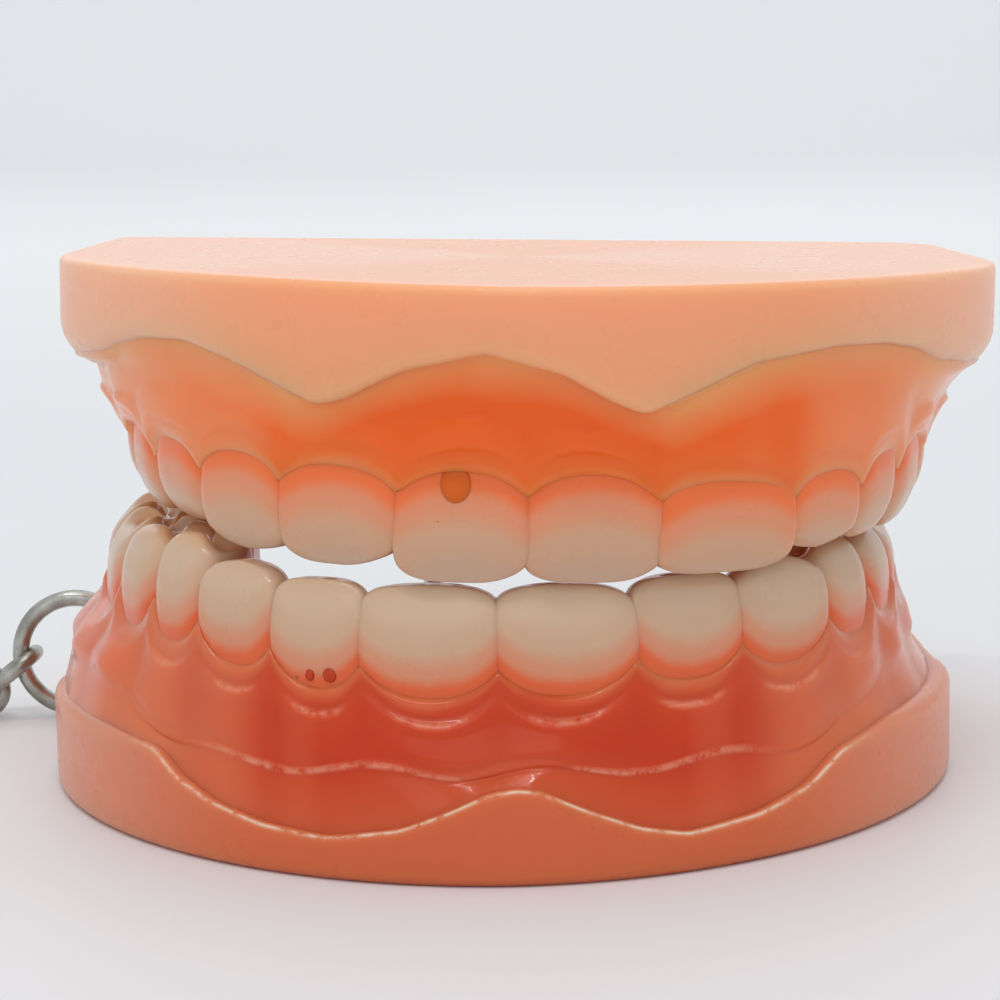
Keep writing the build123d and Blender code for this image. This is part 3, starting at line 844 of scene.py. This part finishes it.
def mix_colour(nodes, links, factor, first, second):
    """The first colour, going over to the second as factor goes from 0 to 1."""
    mix = nodes.new("ShaderNodeMix")
    mix.data_type = "RGBA"
    for socket, value in ((mix.inputs[0], factor), (mix.inputs[6], first), (mix.inputs[7], second)):
        if isinstance(value, (int, float)):
            socket.default_value = value
        elif isinstance(value, tuple):
            socket.default_value = (*value, 1)
        else:
            links.new(value, socket)
    return mix.outputs[2]


def map_range(nodes, links, value, low, high, out_low=0.0, out_high=1.0):
    """A value's range from low to high, stretched to run from out_low to out_high."""
    node = nodes.new("ShaderNodeMapRange")
    node.inputs["From Min"].default_value = low
    node.inputs["From Max"].default_value = high
    node.inputs["To Min"].default_value = out_low
    node.inputs["To Max"].default_value = out_high
    links.new(value, node.inputs["Value"])
    return node.outputs["Result"]


def resin_body(shader, subsurface, radius, scale, specular, coat, coat_roughness):
    """How deep light goes into the resin, and how its skin shines."""
    shader.inputs["Subsurface Weight"].default_value = subsurface
    shader.inputs["Subsurface Radius"].default_value = radius
    shader.inputs["Subsurface Scale"].default_value = scale
    shader.inputs["Specular IOR Level"].default_value = specular
    shader.inputs["Coat Weight"].default_value = coat
    shader.inputs["Coat Roughness"].default_value = coat_roughness


def resin_surface(nodes, links, shader, roughness, bump_strength):
    """Moulded resin: faint ripples, a finer grain on them, and gloss that comes and goes."""
    ripple = object_noise(nodes, links, 260.0, 3.0)
    fine = object_noise(nodes, links, 2600.0, 2.0)
    gloss = object_noise(nodes, links, 420.0, 3.0, 0.5)
    links.new(map_range(nodes, links, gloss.outputs["Fac"], 0.2, 0.8, *roughness), shader.inputs["Roughness"])
    height = nodes.new("ShaderNodeMath")
    height.operation = "MULTIPLY_ADD"
    links.new(fine.outputs["Fac"], height.inputs[0])
    height.inputs[1].default_value = 0.12
    links.new(ripple.outputs["Fac"], height.inputs[2])
    relief = nodes.new("ShaderNodeBump")
    relief.inputs["Strength"].default_value = bump_strength
    relief.inputs["Distance"].default_value = 0.0006
    links.new(height.outputs[0], relief.inputs["Height"])
    links.new(relief.outputs["Normal"], shader.inputs["Normal"])


def read_attribute(nodes, name):
    """One of the values that make_mesh() stored on the mesh."""
    attribute = nodes.new("ShaderNodeAttribute")
    attribute.attribute_name = name
    return attribute.outputs["Fac"]


def painted_highlight_line(nodes, links, colour, pale):
    """A thin, broken, pale painted highlight line: on the lower base's bead, along the lower gum's fold, and
    on the rims of its rolls.
    """
    speckle = object_noise(nodes, links, 1500.0, 3.0, 0.7)
    broken = map_range(nodes, links, speckle.outputs["Fac"], 0.36, 0.56)
    amount = nodes.new("ShaderNodeMath")
    amount.operation = "MULTIPLY"
    links.new(read_attribute(nodes, "seam"), amount.inputs[0])
    links.new(broken, amount.inputs[1])
    return mix_colour(nodes, links, amount.outputs[0], colour, pale)


def base_material(name, light, deep, flank):
    """Cloudy salmon resin between a light and a deep shade, paler along its flanks."""
    material, nodes, links, shader = new_material(name)
    cloud = object_noise(nodes, links, 60.0, 2.0, 0.35)
    ramp = colour_ramp(nodes, ((0.2, deep), (0.8, light)))
    links.new(cloud.outputs["Fac"], ramp.inputs["Fac"])
    side = map_range(nodes, links, read_attribute(nodes, "sides"), 0.0, 1.0, 0.0, 0.7)
    colour = mix_colour(nodes, links, side, ramp.outputs["Color"], flank)
    # painted highlight line along the bead
    colour = painted_highlight_line(nodes, links, colour, BASE_HIGHLIGHT)
    links.new(colour, shader.inputs["Base Color"])
    resin_body(shader, 0.6, (1.0, 0.5, 0.32), 0.0035, 0.2, 0.12, 0.05)
    resin_surface(nodes, links, shader, (0.26, 0.3), 0.02)
    return material


def wobbled(nodes, links, value, scale, amount):
    """A value pushed up and down by noise, centred on itself."""
    cloud = object_noise(nodes, links, scale, 3.0)
    offset = map_range(nodes, links, cloud.outputs["Fac"], 0.25, 0.75, -amount, amount)
    total = nodes.new("ShaderNodeMath")
    total.operation = "ADD"
    links.new(value, total.inputs[0])
    links.new(offset, total.inputs[1])
    return total.outputs[0]


def gum_material(name, near, middle, deep, ledge, fade, root, flank):
    """Translucent gum: paler where it thins over the teeth, deeper below, and like the base at the ledge.

    fade is the heights above the ledge between which that last colour fades, and its strength at the start.
    """
    material, nodes, links, shader = new_material(name)
    below = wobbled(nodes, links, read_attribute(nodes, "below_margin"), 230.0, 0.3)
    ramp = colour_ramp(nodes, ((0.0, near), (0.12, middle), (0.42, deep), (1.0, deep)))
    links.new(map_range(nodes, links, below, 0.0, 5.5), ramp.inputs["Fac"])
    above = wobbled(nodes, links, read_attribute(nodes, "above_ledge"), 160.0, 0.25)
    at_ledge = map_range(nodes, links, above, fade[0], fade[1], fade[2], 0.0)
    colour = mix_colour(nodes, links, at_ledge, ramp.outputs["Color"], ledge)
    side = map_range(nodes, links, read_attribute(nodes, "sides"), 0.0, 1.0, 0.0, 0.6)
    colour = mix_colour(nodes, links, side, colour, flank)
    roots = map_range(nodes, links, read_attribute(nodes, "roots"), 0.2, 1.0, 0.0, 0.35)
    colour = mix_colour(nodes, links, roots, colour, root)
    # painted highlight lines on the fold and on the rolls
    colour = painted_highlight_line(nodes, links, colour, GUM_HIGHLIGHT)
    links.new(colour, shader.inputs["Base Color"])
    resin_body(shader, 0.55, (1.0, 0.3, 0.12), 0.0018, 0.22, 0.2, 0.04)
    resin_surface(nodes, links, shader, (0.16, 0.24), 0.12)
    return material


def tooth_material(name, gum, body, tip, rim, reach):
    """Cream resin that takes up the gum's colour at the neck and is clearer at the biting edge.

    body is its colour above the neck, tip its colour at reach (mm) above the gum line and higher, and rim the
    colour of the edge itself.
    """
    material, nodes, links, shader = new_material(name)
    above = read_attribute(nodes, "above_gum")
    to_edge = read_attribute(nodes, "to_edge")
    cloud = object_noise(nodes, links, 300.0, 3.0)
    wobble = nodes.new("ShaderNodeMath")
    wobble.operation = "MULTIPLY_ADD"
    links.new(cloud.outputs["Fac"], wobble.inputs[0])
    wobble.inputs[1].default_value = 0.3
    links.new(above, wobble.inputs[2])
    span = map_range(nodes, links, wobble.outputs[0], -0.15, reach)
    halfway = tuple(0.45 * a + 0.55 * b for a, b in zip(gum, body))
    stops = ((0.0, gum), (0.1, gum), (0.3, halfway), (0.62, body), (1.0, tip))
    ramp = colour_ramp(nodes, stops, "EASE")
    links.new(span, ramp.inputs["Fac"])
    edge = map_range(nodes, links, to_edge, 0.0, 0.6, 0.8, 0.0)
    colour = mix_colour(nodes, links, edge, ramp.outputs["Color"], rim)
    # painted glow: back light through the resin, on the chewing surfaces and tongue side
    backlight_glow = map_range(nodes, links, read_attribute(nodes, "chewing"), 0.0, 1.0, 0.0, 0.75)
    colour = mix_colour(nodes, links, backlight_glow, colour, BACKLIGHT_GLOW_TINT)
    # sparse dark specks, like trapped bubbles
    where = nodes.new("ShaderNodeTexCoord")
    cells = nodes.new("ShaderNodeTexVoronoi")
    cells.inputs["Scale"].default_value = 330.0
    links.new(where.outputs["Object"], cells.inputs["Vector"])
    speck = map_range(nodes, links, cells.outputs["Distance"], 0.02, 0.035, 1.0, 0.0)
    colour = mix_colour(nodes, links, speck, colour, SPECK)
    links.new(colour, shader.inputs["Base Color"])
    resin_body(shader, 0.3, (1.0, 0.6, 0.38), 0.0009, 0.3, 0.22, 0.07)
    resin_surface(nodes, links, shader, (0.22, 0.3), 0.07)
    return material


def metal_material(name, colour, dull, roughness, scale):
    """Drawn wire: fine lines along it, handling marks and duller patches."""
    material, nodes, links, shader = new_material(name)
    shader.inputs["Metallic"].default_value = 1.0
    patches = object_noise(nodes, links, scale, 5.0, 0.6)
    ramp = colour_ramp(nodes, ((0.35, dull), (0.6, colour)))
    links.new(patches.outputs["Fac"], ramp.inputs["Fac"])
    links.new(ramp.outputs["Color"], shader.inputs["Base Color"])
    wear = map_range(nodes, links, patches.outputs["Fac"], 0.3, 0.7, roughness + 0.18, roughness)
    links.new(wear, shader.inputs["Roughness"])
    fine = object_noise(nodes, links, scale * 9, 3.0, 0.6)
    relief = nodes.new("ShaderNodeBump")
    relief.inputs["Strength"].default_value = 0.15
    relief.inputs["Distance"].default_value = 0.0001
    links.new(fine.outputs["Fac"], relief.inputs["Height"])
    links.new(relief.outputs["Normal"], shader.inputs["Normal"])
    return material


def set_material(obj, material):
    """Gives an object one material, in every slot that it has."""
    if obj.material_slots:
        for slot in obj.material_slots:
            slot.material = material
    else:
        obj.data.materials.append(material)


# painted shade: the lower base and gum take darker copies of the upper jaw's resin colours, because the lower
# jaw sits in shade below the top light
lower_base_shaded_look = base_material("lower_base_resin", (0.73, 0.16, 0.06), (0.7, 0.14, 0.05), (0.76, 0.3, 0.18))
upper_base_look = base_material(
    "upper_base_resin", (0.99, 0.41, 0.215), (0.985, 0.39, 0.195), (0.99, 0.5, 0.33)
)
# painted shade: a darker copy of the upper gum's colours
lower_gum_shaded_look = gum_material(
    "lower_gum_resin",
    near=(0.76, 0.18, 0.06),
    middle=(0.66, 0.065, 0.01),
    deep=(0.62, 0.045, 0.004),
    ledge=(0.68, 0.11, 0.03),
    fade=(-0.1, 2.3, 0.9),
    root=(0.8, 0.19, 0.07),
    flank=(0.76, 0.24, 0.11),
)
upper_gum_look = gum_material(
    "upper_gum_resin",
    near=(0.96, 0.27, 0.09),
    middle=(0.96, 0.16, 0.02),
    deep=(0.96, 0.13, 0.005),
    ledge=(0.99, 0.36, 0.12),
    fade=(0.1, 1.7, 0.95),
    root=(0.97, 0.3, 0.12),
    flank=(0.98, 0.36, 0.15),
)
lower_tooth_look = tooth_material(
    "lower_tooth_resin",
    gum=(0.8, 0.13, 0.03),
    body=(0.65, 0.42, 0.27),
    tip=(0.67, 0.47, 0.32),
    rim=(0.64, 0.43, 0.27),
    reach=3.0,
)
upper_tooth_look = tooth_material(
    "upper_tooth_resin",
    gum=(0.94, 0.18, 0.04),
    body=(0.67, 0.39, 0.24),
    tip=(0.6, 0.4, 0.28),
    rim=(0.62, 0.43, 0.31),
    reach=4.0,
)
steel_look = metal_material("hinge_wire_steel", (0.62, 0.61, 0.59), (0.45, 0.44, 0.42), 0.22, 900.0)
chain_look = metal_material("chain_nickel", (0.5, 0.5, 0.46), (0.26, 0.25, 0.21), 0.24, 700.0)

# ---------------------------------------------------------------- build
for jaw, base_look, gum_look, tooth_look in (
    (LOWER, lower_base_shaded_look, lower_gum_shaded_look, lower_tooth_look),
    (UPPER, upper_base_look, upper_gum_look, upper_tooth_look),
):
    set_material(build_base(jaw), base_look)
    set_material(build_gum(jaw), gum_look)
    curve = arch_columns(jaw)
    for tooth in tooth_list(jaw):
        set_material(build_tooth(jaw, tooth, curve), tooth_look)

for node in ("lower_hinge_wire", "upper_hinge_eye_right", "upper_hinge_eye_left"):
    set_material(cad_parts[node], steel_look)
for node in ("jump_ring", "chain_link_1", "chain_link_2"):
    set_material(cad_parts[node], chain_look)


# ---------------------------------------------------------------- stage, light and camera
# Metres, from here on
FLOOR_FRONT = -1.2
FLOOR_BACK = 0.35
SWEEP_RADIUS = 1.0
WALL_TOP = 2.2
STAGE_HALF = 1.6


def build_stage():
    """A seamless pale sweep: floor, curve and back wall in one sheet."""
    profile = [(y, 0.0) for y in np.linspace(FLOOR_FRONT, FLOOR_BACK, 12)]
    for turn in np.linspace(0, math.pi / 2, 24)[1:]:
        profile.append((FLOOR_BACK + SWEEP_RADIUS * math.sin(turn), SWEEP_RADIUS * (1 - math.cos(turn))))
    profile.append((FLOOR_BACK + SWEEP_RADIUS, WALL_TOP))
    points = [(x, y, z) for x in (-STAGE_HALF, STAGE_HALF) for y, z in profile]
    count = len(profile)
    faces = [(i, i + 1, count + i + 1, count + i) for i in range(count - 1)]
    mesh = bpy.data.meshes.new("studio_sweep")
    mesh.from_pydata(points, [], faces)
    obj = bpy.data.objects.new("studio_sweep", mesh)
    bpy.context.scene.collection.objects.link(obj)
    for poly in mesh.polygons:
        poly.use_smooth = True
    material, nodes, links, shader = new_material("studio_sweep")
    tint = object_noise(nodes, links, 3.0, 2.0)
    ramp = colour_ramp(nodes, ((0.3, (0.78, 0.79, 0.795)), (0.7, (0.8, 0.81, 0.815))))
    links.new(tint.outputs["Fac"], ramp.inputs["Fac"])
    links.new(ramp.outputs["Color"], shader.inputs["Base Color"])
    shader.inputs["Roughness"].default_value = 0.6
    set_material(obj, material)


build_stage()


def area_light(name, location, target, size, power):
    """A rectangular lamp aimed at a point; metres and watts."""
    data = bpy.data.lights.new(name, "AREA")
    data.shape = "RECTANGLE"
    data.size, data.size_y = size
    data.energy = power
    obj = bpy.data.objects.new(name, data)
    bpy.context.scene.collection.objects.link(obj)
    obj.location = location
    direction = Vector(target) - Vector(location)
    obj.rotation_euler = direction.to_track_quat("-Z", "Y").to_euler()


MODEL = (0, 0, 0.01)
area_light("top_softbox", (0.05, 0.05, 0.5), MODEL, (0.45, 0.35), 0.45)
area_light("strip", (-0.06, -0.16, 0.45), MODEL, (0.26, 0.012), 0.36)
area_light("front_fill", (-0.1, -0.55, 0.3), MODEL, (0.5, 0.35), 0.32)
area_light("backdrop_wash", (0.0, 0.35, 0.75), (0, 1.3, 0.45), (1.2, 0.5), 3.0)
area_light("back_glow", (0.0, 0.42, 0.22), (0, 0, 0.012), (0.6, 0.3), 0.2)

world = bpy.data.worlds.new("studio")
bpy.context.scene.world = world
world.use_nodes = True
world.node_tree.nodes["Background"].inputs["Color"].default_value = (0.93, 0.96, 1.0, 1)
world.node_tree.nodes["Background"].inputs["Strength"].default_value = 0.7

bpy.context.scene.view_settings.view_transform = "Standard"

CAMERA_SPOT = (0.00003, -0.11391, 0.02941)
CAMERA_DOWN = math.radians(8.54)
CAMERA_ROLL = -0.017
camera_data = bpy.data.cameras.new("camera")
camera_data.sensor_width = 36.0
camera_data.lens = 96.5
camera_data.clip_start = 0.005
camera = bpy.data.objects.new("camera", camera_data)
bpy.context.scene.collection.objects.link(camera)
tilt = Matrix.Rotation(math.pi / 2 - CAMERA_DOWN, 4, "X")
roll = Matrix.Rotation(CAMERA_ROLL, 4, "Z")
camera.matrix_world = Matrix.Translation(CAMERA_SPOT) @ tilt @ roll
bpy.context.scene.camera = camera

bpy.context.view_layer.update()
